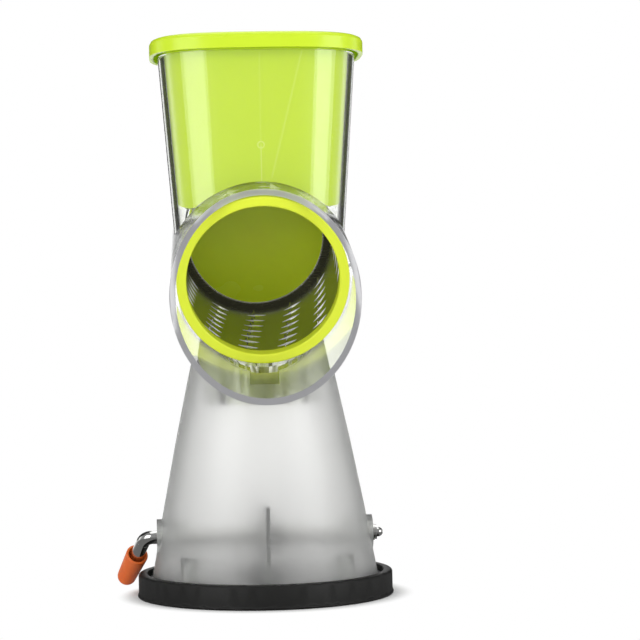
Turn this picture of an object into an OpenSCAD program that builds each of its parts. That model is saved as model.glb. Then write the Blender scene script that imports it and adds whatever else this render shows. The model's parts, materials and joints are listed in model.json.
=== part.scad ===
// Rotary cabbage shredder: a clear hopper and barrel that stand on a frosted column with a
// suction foot, a perforated steel drum turned by a crank behind, and a side lever that lifts
// the middle of the foot. Millimetres, +Z up. The origin is on the floor under the middle of
// the foot. The drum's mouth looks along -Y, the crank is at +Y and the lever at -X.

/* [Foot] */
// Outer radius of the rubber foot
pad_r = 65; // [62:0.5:72]
// Height of the rubber foot
pad_h = 12; // [11:0.5:14]
// Thickness of the rubber under the pressure plate
pad_floor = 3; // [2:0.25:4]
// Thickness of the rubber lip over the edge of the plate
pad_lip = 3; // [2:0.25:4]
// Width of the rubber rim seen from above
pad_rim_w = 5.2; // [4.6:0.1:6]
// Thickness of the rubber wall round the edge of the plate
pad_wall = 2.8; // [2:0.1:3.4]

/* [Column] */
// Half width of the oval column at its foot, left to right
column_foot_a = 57.4; // [55:0.2:59]
// Half depth of the oval column at its foot, front to back
column_foot_b = 45.5; // [43:0.5:50]
// Radius of the column where it has become round
column_top_r = 34.1; // [33:0.1:36]
// Height at which the column has become round
column_round_z = 125; // [120:1:128]
// How far the sides stand out from a straight taper, halfway up
column_belly = 0.85; // [0:0.05:1.5]
// Wall of the column
column_wall = 2.5; // [2:0.1:3]

/* [Lever] */
// Height of the lever's shaft above the floor
shaft_z = 30; // [28:0.5:34]
// Radius of the bent steel rod
rod_r = 3.5; // [3:0.1:4]
// Distance from the middle to the outer face of each shaft boss
boss_face_x = 54.7; // [54.2:0.1:56]
// Radius of the shaft bosses
boss_r = 9; // [8:0.25:10]
// Radius of the bend between shaft and arm, on the rod's middle line
bend_r = 5.5; // [5:0.5:7]
// Length of the straight arm
arm_len = 34; // [31:1:37]
// Slope of the arm below level, in degrees
arm_drop = 38; // [34:1:40]
// Angle by which the arm leans out from the column, in degrees
arm_splay = 16; // [15:1:20]
// Radius of the grip sleeve at its mouth
grip_r = 5.7; // [5.2:0.1:7]
// Length of the grip sleeve
grip_len = 25; // [22:1:27]
// Radius of the eccentric cam
cam_r = 8; // [7.5:0.25:9]
// Distance of the cam's middle from the shaft's axis
cam_throw = 2.5; // [1.5:0.25:3]

/* [Drum] */
// Depth of the ring's face in front of the column's axis
mouth_front = 40; // [36:1:42]
// Height of the middle of the drum's mouth
mouth_z = 157.6; // [155:0.2:160]
// Tilt of the drum's axis, mouth down, in degrees
drum_tilt = 17.8; // [15:0.1:20]
// Gap between the drum's front ring and the barrel round it
ring_clear = 0.7; // [0.5:0.05:1]
// Width of the front ring's face, from its bore to its edge
ring_w = 4.9; // [4.6:0.1:5.6]
// Length of the drum from the ring's face to the back edge of the steel
drum_len = 83; // [80:1:86]
// How far the steel sleeve lies inside the ring's outer edge
sleeve_in = 3; // [2.7:0.1:3.2]
// Thickness of the steel sheet
sheet_t = 0.5; // [0.4:0.05:0.7]
// Length of one tooth's almond-shaped slot, round the drum
tooth_len = 12; // [10:0.5:13]
// Width of one tooth, along the drum
tooth_w = 4; // [3:0.25:4.4]
// Distance from tooth to tooth along the drum
tooth_pitch = 9.2; // [8:0.1:9.6]
// Teeth in a row along the drum, as far as its length has room for them
teeth_in_row = 7; // [4:1:7]
// Rows of teeth round the drum
rows = 12; // [8:1:12]
// Angle by which a row turns over the drum's length, in degrees
row_skew = 15; // [0:1:16]
// Wide gap between two rows that holds the seam, in degrees
seam_gap = 36; // [34:1:40]

/* [Housing] */
// Outer radius of the barrel at its mouth
barrel_r = 46; // [45.6:0.1:47]
// Wall of the barrel
barrel_wall = 2.8; // [2.4:0.1:2.9]
// Loss of barrel radius from the mouth to the back wall
barrel_draft = 1.4; // [0.4:0.1:1.4]
// Distance of the slanted lip in front of the ring's face, at the sides
lip_side = 24.5; // [20:0.5:28]
// Angle between the slanted lip and a square cut, in degrees
lip_slant = 30; // [22:1:30]
// Half width of the hopper at its top, outside
hopper_top_a = 49.8; // [49:0.1:51]
// Half depth of the hopper at its top, outside
hopper_top_b = 34; // [33:0.1:34.6]
// Half width of the hopper at the reference height, outside
hopper_low_a = 43.1; // [42.5:0.1:43.6]
// Half depth of the hopper at the reference height, outside
hopper_low_b = 32; // [31:0.1:33]
// Reference height of the hopper's lower sizes
hopper_low_z = 183; // [180:1:186]
// Wall of the hopper
hopper_wall = 3; // [2.6:0.1:3.2]
// Distance of the hopper's middle in front of the column's axis
hopper_front = 4; // [3:0.5:5]

/* [Pusher] */
// Height of the top of the pusher's flange, the height of the whole
top_z = 280; // [272:1:290]
// Height of the flange's edge
flange_h = 8; // [6:0.5:10]
// How far the flange stands out past the hopper
flange_over = 4.1; // [3.6:0.1:5]
// Wall of the pusher
pusher_wall = 2.2; // [1.8:0.1:3]

/* [Crank] */
// Distance from the crank's axis to the knob's axis
crank_r = 72; // [60:1:75]
// Thickness of the crank arm's blade
blade_t = 6; // [5:0.5:8]
// Length of the knob
knob_len = 45; // [36:1:55]
// Radius of the knob at its thickest
knob_r = 11; // [9:0.5:13]
// Radius of the crank's shaft
crank_shaft_r = 5; // [4.5:0.1:5.5]

/* [Hidden] */
$fn = 96;

// Clearances: parts that pass each other, running fits, and fits within one body
pass_gap = 0.3;
run_gap = 0.08;
snug_gap = 0.05;
// Overrun of every cut
over = 2;
// Side of the large blocks that cut one half of a body away
half_block = top_z - pad_h;

// Foot
pad_bead = 0.9;
pad_side_in = 0.5;
pad_edge_round = 1.4;
plate_z0 = pad_floor;
plate_z1 = pad_h - pad_lip;
plate_r = pad_r - pad_wall;
plate_fit = 0.1;
plate_bevel = 0.6;
stud_hole_r = 18;
screw_shank_r = 1.7;
screw_head_r = 3.4;
screw_head_t = 1.6;
screw_grip = 10;
screw_slot_w = 0.9;
screw_slot_d = 0.8;

// Column
column_z0 = plate_z1;
column_sides = 64;
column_steps = 4;
post_r = 4.2;
post_h = screw_grip + 3 * snug_gap + column_wall;
post_share = 0.665;
post_b_share = 0.53;
boss_inside = 13;
web_t = 2;
web_h = 38;
web_clear = 1;
key_w = 14.4;
key_h = 5;
key_fit = 0.4;

// Lever
bend_x = boss_face_x + rod_r / 2;
// Angle by which the bend runs on inside the straight rods at each end
bend_lap = 3;
cam_t = 5;
cam_hub_r = cam_r - cam_throw - pass_gap;
cam_hub_len = 7;
cam_pin_r = 1;
stub_r = 2.4;
washer_r = 4.1;
washer_t = 1;
clip_r = 4;
clip_t = 0.8;
clip_gap = 0.2;
clip_mouth = 2 * stub_r * 0.8;
stub_len = pass_gap + washer_t + clip_gap + clip_t + 1.2 * clip_t;
grip_tail_share = 0.86;
grip_mouth_depth = 3;
grip_mouth_flare = 1.1;

// Stud and yoke
stud_disc_r = 16;
stud_disc_t = 2.4;
stud_stem_r = 7;
yoke_t = cam_t - 2 * pass_gap;
yoke_frame = 4;
// Greatest distance between a cam's lift and a steady one is 0.2105 of its throw
lag_share = 0.2105;
yoke_play = lag_share * cam_throw + pass_gap / 2;
stud_z0 = pad_floor + pass_gap;

// Drum, measured along its own axis from the ring's face, backwards
ring_r = barrel_r - barrel_wall - ring_clear;
ring_bore_r = ring_r - ring_w;
sleeve_r = ring_r - sleeve_in;
ring_flange_t = 3;
ring_lip = 6.5;
ring_skirt = 3.5;
ring_skirt_r = sleeve_r + 1.5;
ring_round = 0.8;
cap_t = 2.5;
cap_skirt = 4.5;
cap_skirt_t = 1.2;
cap_boss_len = 4.5;
cap_boss_r = 10;
cap_skin = 1.3;
fold_w = 4.1;
drive_across = 8;
first_tooth = ring_lip + ring_skirt + pass_gap + tooth_pitch / 2;
teeth_room = drum_len - cap_skirt - ring_lip - ring_skirt - 2 * pass_gap;
teeth_along = min(teeth_in_row, floor(teeth_room / tooth_pitch));
row_step = (360 - seam_gap) / (rows - 1);
tooth_turn = asin(tooth_len / 4 / sleeve_r);
// A tooth's hood: radius of its tip, its wall, and how far its inside starts behind the tip
hood_tip_r = 0.2 * sheet_t;
hood_wall = 0.75 * sheet_t;
hood_lead = 1.6 * sheet_t;
hood_sides = 12;
slot_sides = 4;
seam_w = 5;
seam_t = 0.5;
seam_angle = -17;
seam_share = 0.42;

// Housing, along the drum's axis
shaft_collar_t = 1.5;
shaft_collar_r = 7.5;
back_in = drum_len + cap_t + cap_boss_len + shaft_collar_t + 2 * pass_gap;
back_wall = 3;
back_out = back_in + back_wall;
back_bevel = 2.2;
hub_r = 12;
hub_len = 8;
bush_r = 8;
bush_flange_t = 1.5;
hub_end = back_out + hub_len;
bush_end = hub_end + bush_flange_t;
barrel_in_r = barrel_r - barrel_wall;
hopper_z1 = top_z - flange_h - pass_gap;
hopper_sides = 64;
hopper_power = 3;
hopper_seat = 6;
neck_top_z = 136;
neck_fit = 0.35;
neck_wall = 2.4;
neck_z0 = 97;

// Pusher
pusher_gap = pass_gap;
flange_t = 2.2;
flange_edge = 2.2;
arch_gap = 2.4;

// Crank, along the drum's axis
crank_washer_t = 1;
crank_washer_r = 9;
arm_hub_z0 = bush_end + crank_washer_t + 3 * pass_gap;
arm_hub_r = 11;
blade_z0 = arm_hub_z0 + 4;
blade_z1 = blade_z0 + blade_t;
arm_hub_z1 = blade_z1 + 1.5;
arm_boss_r = 9;
arm_waist = 1;
arm_pocket_d = 2;
arm_pocket_rim = 2;
arm_square = 7;
arm_square_len = 8;
crank_screw_r = 2;
crank_screw_len = 8;
crank_screw_head_r = 4.5;
crank_screw_head_t = 2.6;
knob_pin_r = 3;
knob_pin_head_r = 4.8;
knob_pin_head_t = 2;
knob_gap = 0.4;
knob_z0 = blade_z1 + knob_gap;
knob_z1 = knob_z0 + knob_len;
knob_neck_share = 0.72;
knob_round_share = 0.3;

// An arc of points in a plane
function arc(x, y, r, a0, a1, n) =
    [for (i = [0:n]) [x + r * cos(a0 + (a1 - a0) * i / n), y + r * sin(a0 + (a1 - a0) * i / n)]];

// One ring of points of a superellipse; power 2 is an ellipse and more is squarer
function oval(a, b, power, n) =
    [for (i = [0:n - 1])
        let (c = cos(360 * i / n), s = sin(360 * i / n))
        [a * sign(c) * pow(abs(c), 2 / power), b * sign(s) * pow(abs(s), 2 / power)]];

// Solid through a stack of rings that all have the same number of points
module loft(rings) {
    n = len(rings[0]);
    last = len(rings) - 1;
    polyhedron(
        points = [for (ring = rings) for (p = ring) p],
        faces = concat(
            [[for (i = [0:n - 1]) i]],
            [for (k = [0:last - 1]) for (i = [0:n - 1])
                [(k + 1) * n + i, (k + 1) * n + (i + 1) % n, k * n + (i + 1) % n]],
            [for (k = [0:last - 1]) for (i = [0:n - 1])
                [(k + 1) * n + i, k * n + (i + 1) % n, k * n + i]],
            [[for (i = [n - 1:-1:0]) last * n + i]]));
}

// The drum's own frame: its middle at the ring's face, +Z out of the mouth, +Y upwards
module at_drum() {
    translate([0, -mouth_front, mouth_z])
        rotate([90 + drum_tilt, 0, 0])
            children();
}

// A cylinder between two distances behind the ring's face
module behind(r, from, to) {
    translate([0, 0, -to])
        cylinder(r = r, h = to - from);
}

module square_behind(across, from, to) {
    translate([-across / 2, -across / 2, -to])
        cube([across, across, to - from]);
}

// Foot

module suction_pad() {
    side_r = pad_r - pad_side_in;
    rim_r = pad_r - pad_rim_w;
    color("#242424")
    rotate_extrude()
        polygon(concat(
            [[0, 0]],
            arc(pad_r - pad_bead, pad_bead, pad_bead, -90, 60, 5),
            [[side_r, 3 * pad_bead]],
            arc(side_r - pad_edge_round, pad_h - pad_edge_round, pad_edge_round, 0, 90, 4),
            arc(rim_r + pad_bead, pad_h - pad_bead, pad_bead, 90, 180, 3),
            [[rim_r, plate_z1], [plate_r + plate_fit, plate_z1],
             [plate_r + plate_fit, plate_z0], [0, plate_z0]]));
}

module at_screws() {
    for (sx = [-1, 1], sy = [-1, 1])
        translate([sx * post_share * column_foot_a, sy * post_b_share * column_foot_b, 0])
            children();
}

module pressure_plate() {
    color("#303030")
    difference() {
        rotate_extrude()
            polygon([
                [stud_hole_r, plate_z0], [plate_r - plate_bevel, plate_z0],
                [plate_r, plate_z0 + plate_bevel], [plate_r, plate_z1 - plate_bevel],
                [plate_r - plate_bevel, plate_z1], [stud_hole_r, plate_z1]]);
        at_screws() {
            translate([0, 0, plate_z0 - over])
                cylinder(r = screw_shank_r + pass_gap, h = plate_z1 - plate_z0 + 2 * over);
            translate([0, 0, plate_z0 - over])
                cylinder(r = screw_head_r + pass_gap, h = screw_head_t + pass_gap + over);
        }
    }
}

module plate_screws() {
    head_z0 = plate_z0 + pass_gap;
    color("#b8bcc0")
    at_screws()
        difference() {
            union() {
                translate([0, 0, head_z0])
                    cylinder(r = screw_head_r, h = screw_head_t);
                translate([0, 0, head_z0])
                    cylinder(r = screw_shank_r, h = plate_z1 - head_z0 + screw_grip);
            }
            translate([-screw_head_r, -screw_slot_w / 2, head_z0 - over])
                cube([2 * screw_head_r, screw_slot_w, screw_slot_d + over]);
        }
}

// Column

function column_share(z) = (z - column_z0) / (column_round_z - column_z0);
function belly(z) = column_belly * 4 * column_share(z) * (1 - column_share(z));
function column_a(z) = column_foot_a + (column_top_r - column_foot_a) * column_share(z) + belly(z);
function column_b(z) = column_foot_b + (column_top_r - column_foot_b) * column_share(z) + belly(z);
neck_r = column_a(neck_top_z) - column_wall - neck_fit;

module column_form(inset, from, to) {
    loft([for (k = [0:column_steps])
        let (z = from + (to - from) * k / column_steps)
        [for (p = oval(column_a(z) - inset, column_b(z) - inset, 2, column_sides))
            [p[0], p[1], z]]]);
}

module base_column() {
    loft_z1 = neck_top_z + boss_r;
    web_y0 = stud_disc_r + web_clear;
    color([0.86, 0.87, 0.86, 0.6])
    difference() {
        union() {
            difference() {
                column_form(0, column_z0, loft_z1);
                column_form(column_wall, column_z0 - over, loft_z1 + over);
            }
            intersection() {
                column_form(column_wall / 2, column_z0, loft_z1);
                union() {
                    for (side = [-1, 1])
                        translate([-web_t / 2, side > 0 ? web_y0 : -column_foot_b, column_z0])
                            cube([web_t, column_foot_b - web_y0, web_h]);
                    at_screws()
                        translate([0, 0, column_z0])
                            cylinder(r = post_r, h = post_h);
                }
            }
            for (side = [-1, 1])
                translate([side * (boss_face_x - boss_inside / 2), 0, shaft_z])
                    rotate([0, 90, 0])
                        cylinder(r = boss_r, h = boss_inside, center = true);
        }
        translate([0, 0, shaft_z])
            rotate([0, 90, 0])
                cylinder(r = rod_r + run_gap, h = 2 * (boss_face_x + over), center = true);
        at_screws()
            translate([0, 0, column_z0 - over])
                cylinder(r = screw_shank_r + snug_gap, h = screw_grip + snug_gap + over);
        at_drum()
            barrel_form(barrel_r + pass_gap, back_out, lip_side + barrel_r);
        translate([-key_w / 2 - key_fit, -column_foot_b, key_z0() - key_fit])
            cube([key_w + 2 * key_fit, column_foot_b, column_foot_b]);
    }
}

// Lever and suction lock

module along_shaft(r, from, to) {
    translate([from, 0, shaft_z])
        rotate([0, 90, 0])
            cylinder(r = r, h = to - from);
}

// The arm's frame: at the end of the bend, +Z along the arm
module at_arm() {
    turn = 90 - arm_splay;
    translate([0, 0, shaft_z])
        rotate([-arm_drop, 0, 0])
            translate([-bend_x - bend_r * sin(turn), bend_r * (1 - cos(turn)), 0])
                rotate([-90, 0, arm_splay])
                    children();
}

module lever_shaft() {
    turn = 90 - arm_splay;
    color("#c8cacc")
    difference() {
        union() {
            along_shaft(rod_r, -bend_x, boss_face_x);
            along_shaft(stub_r, boss_face_x, boss_face_x + stub_len);
            translate([boss_face_x + stub_len, 0, shaft_z])
                sphere(r = stub_r);
            translate([0, 0, shaft_z])
                rotate([-arm_drop, 0, 0])
                    translate([-bend_x, bend_r, 0])
                        rotate([0, 0, -90 - turn - bend_lap])
                            rotate_extrude(angle = turn + 2 * bend_lap)
                                translate([bend_r, 0])
                                    circle(r = rod_r - snug_gap);
            at_arm()
                cylinder(r = rod_r, h = arm_len);
        }
        translate([cam_t / 2 + cam_hub_len / 2, 0, shaft_z])
            rotate([90, 0, 0])
                cylinder(r = cam_pin_r + snug_gap, h = 2 * cam_hub_r, center = true);
    }
}

module lever_grip() {
    from = arm_len - grip_len + rod_r;
    tail_r = grip_r * grip_tail_share;
    bore_r = rod_r + snug_gap;
    bore_end = arm_len + snug_gap;
    color("#e8742c")
    at_arm()
        rotate_extrude()
            polygon(concat(
                [[bore_r, from + grip_mouth_depth],
                 [bore_r + grip_mouth_flare, from]],
                arc(grip_r - grip_mouth_flare / 2, from + grip_mouth_flare / 2,
                    grip_mouth_flare / 2, -90, 0, 3),
                arc(0, bore_end, tail_r, 0, 90, 8),
                [[0, bore_end], [bore_r, bore_end]]));
}

module shaft_cam() {
    color("#3a3a3c")
    difference() {
        union() {
            translate([-cam_t / 2, 0, shaft_z - cam_throw])
                rotate([0, 90, 0])
                    cylinder(r = cam_r, h = cam_t);
            along_shaft(cam_hub_r, 0, cam_t / 2 + cam_hub_len);
        }
        along_shaft(rod_r + snug_gap, -cam_t, cam_t + cam_hub_len);
        translate([cam_t / 2 + cam_hub_len / 2, 0, shaft_z])
            rotate([90, 0, 0])
                cylinder(r = cam_pin_r + snug_gap, h = 2 * cam_hub_r + 2 * over, center = true);
    }
}

module cam_pin() {
    color("#b8bcc0")
    translate([cam_t / 2 + cam_hub_len / 2, 0, shaft_z])
        rotate([90, 0, 0])
            cylinder(r = cam_pin_r, h = 2 * cam_hub_r, center = true);
}

module pad_stud() {
    window_w = 2 * (cam_r + cam_throw + pass_gap);
    window_h = 2 * (cam_r + yoke_play);
    cam_z = shaft_z - cam_throw;
    frame_w = window_w + 2 * yoke_frame;
    frame_z0 = cam_z - window_h / 2 - yoke_frame;
    color("#4a4a4c")
    union() {
        difference() {
            translate([-yoke_t / 2, -frame_w / 2, frame_z0])
                cube([yoke_t, frame_w, window_h + 2 * yoke_frame]);
            translate([-yoke_t / 2 - over, -window_w / 2, cam_z - window_h / 2])
                cube([yoke_t + 2 * over, window_w, window_h]);
        }
        translate([0, 0, stud_z0])
            cylinder(r = stud_disc_r, h = stud_disc_t);
        translate([0, 0, stud_z0])
            cylinder(r = stud_stem_r, h = frame_z0 - stud_z0 + yoke_frame / 2);
    }
}

module shaft_washer() {
    color("#d0d2d4")
    difference() {
        along_shaft(washer_r, boss_face_x + pass_gap, boss_face_x + pass_gap + washer_t);
        along_shaft(stub_r + snug_gap, boss_face_x, boss_face_x + pass_gap + washer_t + over);
    }
}

module shaft_clip() {
    from = boss_face_x + pass_gap + washer_t + clip_gap;
    color("#8c8e90")
    difference() {
        along_shaft(clip_r, from, from + clip_t);
        along_shaft(stub_r + snug_gap, from - over, from + clip_t + over);
        translate([from - over, -clip_mouth / 2, shaft_z - clip_r - over])
            cube([clip_t + 2 * over, clip_mouth, clip_r + over]);
    }
}

// Housing

// A barrel's revolved form: a slight cone behind the ring's face, a cylinder in front of it
module barrel_form(r, back, front) {
    rotate_extrude()
        polygon([
            [0, -back], [r - barrel_draft, -back], [r, 0], [r, front], [0, front]]);
}

module lip_cut() {
    translate([0, 0, lip_side])
        rotate([-lip_slant, 0, 0])
            translate([-half_block / 2, -half_block / 2, 0])
                cube([half_block, half_block, half_block]);
}

function hopper_share(z) = (hopper_z1 - z) / (hopper_z1 - hopper_low_z);
function hopper_a(z) = hopper_top_a + (hopper_low_a - hopper_top_a) * hopper_share(z);
function hopper_b(z) = hopper_top_b + (hopper_low_b - hopper_top_b) * hopper_share(z);
function hopper_ring(z, inset) =
    [for (p = oval(hopper_a(z) - inset, hopper_b(z) - inset, hopper_power, hopper_sides))
        [p[0], p[1] - hopper_front, z]];

// The hopper's tapered form above a plane that lies along the drum's axis
module hopper_form(inset, above_axis, top) {
    intersection() {
        loft([hopper_ring(mouth_z - barrel_r, inset), hopper_ring(top, inset)]);
        at_drum()
            translate([-half_block / 2, above_axis, -half_block])
                cube([half_block, half_block, 2 * half_block]);
    }
}

// Height of the barrel's underside at the front of the column, and of the key's lower end
function under_z(y) =
    mouth_z - (barrel_r + pass_gap) / cos(drum_tilt) + (y + mouth_front) * tan(drum_tilt);
function key_z0() = under_z(-column_top_r) - key_h;

module housing() {
    key_y0 = column_b(key_z0()) - column_wall / 2;
    color([0.93, 0.95, 0.93, 0.35])
    difference() {
        union() {
            at_drum() {
                difference() {
                    barrel_form(barrel_r, back_out, lip_side + barrel_r);
                    lip_cut();
                }
                behind(hub_r, back_out - back_wall / 2, hub_end);
            }
            hopper_form(0, 0, hopper_z1);
            translate([0, 0, neck_z0])
                cylinder(r = neck_r, h = mouth_z - neck_z0);
            translate([-key_w / 2, -key_y0, key_z0()])
                cube([key_w, key_y0 - neck_r + neck_wall, mouth_z - key_z0() - barrel_r / 2]);
        }
        at_drum() {
            barrel_form(barrel_in_r, back_in, lip_side + 2 * barrel_r);
            behind(bush_r + snug_gap, back_in - over, hub_end + over);
        }
        hopper_form(hopper_wall, hopper_seat, hopper_z1 + over);
        difference() {
            translate([0, 0, neck_z0 - over])
                cylinder(r = neck_r - neck_wall, h = mouth_z - neck_z0);
            at_drum()
                barrel_form(barrel_r, back_out, lip_side + barrel_r);
        }
    }
}

module rear_bush() {
    color("#f0f0ea")
    at_drum()
        difference() {
            union() {
                behind(bush_r, back_in, hub_end);
                behind(hub_r, hub_end, bush_end);
            }
            behind(crank_shaft_r + run_gap, back_in - over, bush_end + over);
        }
}

module pusher() {
    flange_a = hopper_top_a + flange_over;
    flange_b = hopper_top_b + flange_over;
    flange_z0 = top_z - flange_h;
    function lip_ring(z, inset) =
        [for (p = oval(flange_a - inset, flange_b - inset, hopper_power, hopper_sides))
            [p[0], p[1] - hopper_front, z]];
    color("#c8e832")
    difference() {
        union() {
            difference() {
                hopper_form(hopper_wall + pusher_gap, hopper_seat, top_z - flange_t / 2);
                at_drum()
                    cylinder(r = ring_r + arch_gap, h = 2 * half_block, center = true);
            }
            difference() {
                loft([
                    lip_ring(flange_z0, 0),
                    lip_ring(top_z - flange_edge, 0),
                    lip_ring(top_z - flange_edge / 3, flange_edge / 3),
                    lip_ring(top_z, flange_edge)]);
                loft([lip_ring(flange_z0 - over, flange_t), lip_ring(top_z - flange_t, flange_t)]);
            }
        }
        difference() {
            hopper_form(hopper_wall + pusher_gap + pusher_wall, hopper_seat, top_z + over);
            at_drum()
                cylinder(r = ring_r + arch_gap + pusher_wall, h = 2 * half_block, center = true);
        }
    }
}

// Drum

module drum_ring() {
    groove_r = sleeve_r + snug_gap;
    color("#dcec44")
    at_drum()
        rotate_extrude()
            polygon(concat(
                [[ring_bore_r, -ring_lip]],
                arc(ring_bore_r + ring_round, -ring_round, ring_round, 180, 90, 3),
                arc(ring_r - ring_round, -ring_round, ring_round, 90, 0, 3),
                [[ring_r, -ring_flange_t], [ring_skirt_r, -ring_flange_t],
                 [ring_skirt_r, -ring_lip - ring_skirt], [groove_r, -ring_lip - ring_skirt],
                 [groove_r, -ring_lip]]));
}

// Angle of a row round the drum, at a distance behind the ring's face
function row_angle(row, back) =
    seam_angle + seam_share * seam_gap + row_step * row + row_skew * (back / drum_len - 1 / 2);
function tooth_back(column) = first_tooth + tooth_pitch * column;

// Facetted half cone of one tooth, pointed where it trails and open where it cuts
module tooth_hood(r, from, to) {
    rotate([0, 0, -tooth_turn])
        translate([sleeve_r - sheet_t / 2, from - tooth_len / 4, 0])
            rotate([-90, 0, 0])
                cylinder(r1 = hood_tip_r, r2 = r, h = to - from, $fn = hood_sides);
}

// Open half of one tooth's almond-shaped slot
module tooth_slot() {
    half_w = tooth_w / 2 - sheet_t / 2;
    rim = [for (i = [0:slot_sides])
        let (s = i / slot_sides)
        [tooth_len / 2 * s, half_w * (1 - s * s)]];
    translate([sleeve_r - over, 0, 0])
        rotate([90, 0, 90])
            linear_extrude(height = 2 * over)
                polygon(concat(
                    [[-sheet_t, half_w]], rim,
                    [for (i = [slot_sides - 1:-1:0]) [rim[i][0], -rim[i][1]]],
                    [[-sheet_t, -half_w]]));
}

// One band of the sleeve, half a pitch to each side of a ring of teeth
module tooth_band(column) {
    back = tooth_back(column);
    from = back - tooth_pitch / 2;
    to = back + tooth_pitch / 2;
    module at_teeth() {
        for (row = [0:rows - 1])
            rotate([0, 0, row_angle(row, back)])
                translate([0, 0, -back])
                    children();
    }
    difference() {
        union() {
            difference() {
                behind(sleeve_r, from, to);
                at_teeth() tooth_slot();
            }
            at_teeth() tooth_hood(tooth_w / 2, 0, tooth_len / 2);
        }
        behind(sleeve_r - sheet_t, from - over, to + over);
        at_teeth()
            tooth_hood(tooth_w / 2 - hood_wall, hood_lead, tooth_len / 2 + sheet_t / 2);
    }
}

// Folded lock seam that closes the rolled sheet, parallel to the rows
module seam(from, to) {
    middle = (from + to) / 2;
    lean = atan(row_skew * PI / 180 * sleeve_r / drum_len);
    intersection() {
        difference() {
            behind(sleeve_r + seam_t, from, to);
            behind(sleeve_r - sheet_t / 2, from - over, to + over);
        }
        rotate([0, 0, seam_angle + row_skew * (middle / drum_len - 1 / 2)])
            translate([sleeve_r, 0, -middle])
                rotate([lean, 0, 0])
                    cube([2 * over, seam_w, to - from + 2 * over], center = true);
    }
}

module drum_sleeve() {
    teeth_from = tooth_back(0) - tooth_pitch / 2;
    teeth_to = tooth_back(teeth_along - 1) + tooth_pitch / 2;
    color("#b4b6b4")
    at_drum() {
        difference() {
            behind(sleeve_r, ring_lip, teeth_from);
            behind(sleeve_r - sheet_t, ring_lip - over, teeth_from + over);
        }
        for (column = [0:teeth_along - 1])
            tooth_band(column);
        difference() {
            behind(sleeve_r, teeth_to, drum_len);
            behind(sleeve_r - sheet_t, teeth_to - over, drum_len - sheet_t);
            behind(sleeve_r - fold_w, teeth_to, drum_len + over);
        }
        seam(ring_lip + ring_skirt + pass_gap, drum_len - cap_skirt - pass_gap);
    }
}

module drum_back_plate() {
    skirt_in_r = sleeve_r + snug_gap;
    cap_end = drum_len + cap_t;
    color("#94a81c")
    at_drum()
        difference() {
            union() {
                behind(skirt_in_r + cap_skirt_t, drum_len - cap_skirt, cap_end);
                behind(cap_boss_r, cap_end - cap_skin, cap_end + cap_boss_len);
            }
            behind(skirt_in_r, drum_len - cap_skirt - over, drum_len);
            square_behind(drive_across + 2 * snug_gap, drum_len + cap_skin,
                cap_end + cap_boss_len + over);
        }
}

// Crank

module crank_shaft() {
    collar_z0 = drum_len + cap_t + cap_boss_len + pass_gap;
    square_end = arm_hub_z0 + arm_square_len;
    color("#b8bcc0")
    at_drum()
        difference() {
            union() {
                square_behind(drive_across, drum_len + cap_skin + pass_gap, collar_z0 + over / 4);
                behind(shaft_collar_r, collar_z0, collar_z0 + shaft_collar_t);
                behind(crank_shaft_r, collar_z0, arm_hub_z0);
                square_behind(arm_square, arm_hub_z0 - over / 4, square_end);
            }
            behind(crank_screw_r + snug_gap, square_end - crank_screw_len, square_end + over);
        }
}

module crank_washer() {
    from = bush_end + pass_gap;
    color("#d8d8d4")
    at_drum()
        difference() {
            behind(crank_washer_r, from, from + crank_washer_t);
            behind(crank_shaft_r + snug_gap, from - over, from + crank_washer_t + over);
        }
}

// Outline of the arm's blade, hub above and boss below
module blade_outline(inset) {
    hull() {
        circle(r = arm_hub_r - arm_waist - inset, $fn = 48);
        translate([0, -crank_r])
            circle(r = arm_boss_r - arm_waist - inset, $fn = 48);
    }
}

module crank_arm() {
    screw_seat = arm_hub_z0 + arm_square_len + pass_gap;
    color("#b4d02c")
    at_drum()
        difference() {
            union() {
                translate([0, 0, -blade_z1])
                    linear_extrude(height = blade_t)
                        blade_outline(0);
                behind(arm_hub_r, arm_hub_z0, arm_hub_z1);
                translate([0, -crank_r, 0])
                    behind(arm_boss_r, blade_z0, blade_z1);
            }
            translate([0, 0, -blade_z1 - over])
                linear_extrude(height = arm_pocket_d + over)
                    difference() {
                        blade_outline(arm_pocket_rim);
                        circle(r = arm_hub_r);
                        translate([0, -crank_r])
                            circle(r = arm_boss_r);
                    }
            square_behind(arm_square + 2 * snug_gap, arm_hub_z0 - over, screw_seat);
            behind(crank_screw_r + pass_gap, screw_seat - over, arm_hub_z1 + over);
            behind(crank_screw_head_r + pass_gap, arm_hub_z1 - crank_screw_head_t,
                arm_hub_z1 + over);
            translate([0, -crank_r, 0])
                behind(knob_pin_r + snug_gap, blade_z0 - over, blade_z1 + over);
        }
}

module crank_screw() {
    head_z0 = arm_hub_z1 - crank_screw_head_t;
    shank_z0 = arm_hub_z0 + arm_square_len - crank_screw_len + pass_gap;
    color("#a8acb0")
    at_drum()
        difference() {
            union() {
                behind(crank_screw_head_r, head_z0, head_z0 + crank_screw_head_t - pass_gap);
                behind(crank_screw_r, shank_z0, arm_hub_z1 - crank_screw_head_t / 2);
            }
            translate([-crank_screw_head_r, -screw_slot_w / 2, -arm_hub_z1 - over])
                cube([2 * crank_screw_head_r, screw_slot_w, screw_slot_d + pass_gap + over]);
        }
}

module knob_pin() {
    head_z1 = knob_z1 - knob_pin_head_t / 2;
    color("#b8bcc0")
    at_drum()
        translate([0, -crank_r, 0]) {
            behind(knob_pin_r, blade_z0, head_z1);
            behind(knob_pin_head_r, head_z1 - knob_pin_head_t, head_z1);
        }
}

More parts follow.
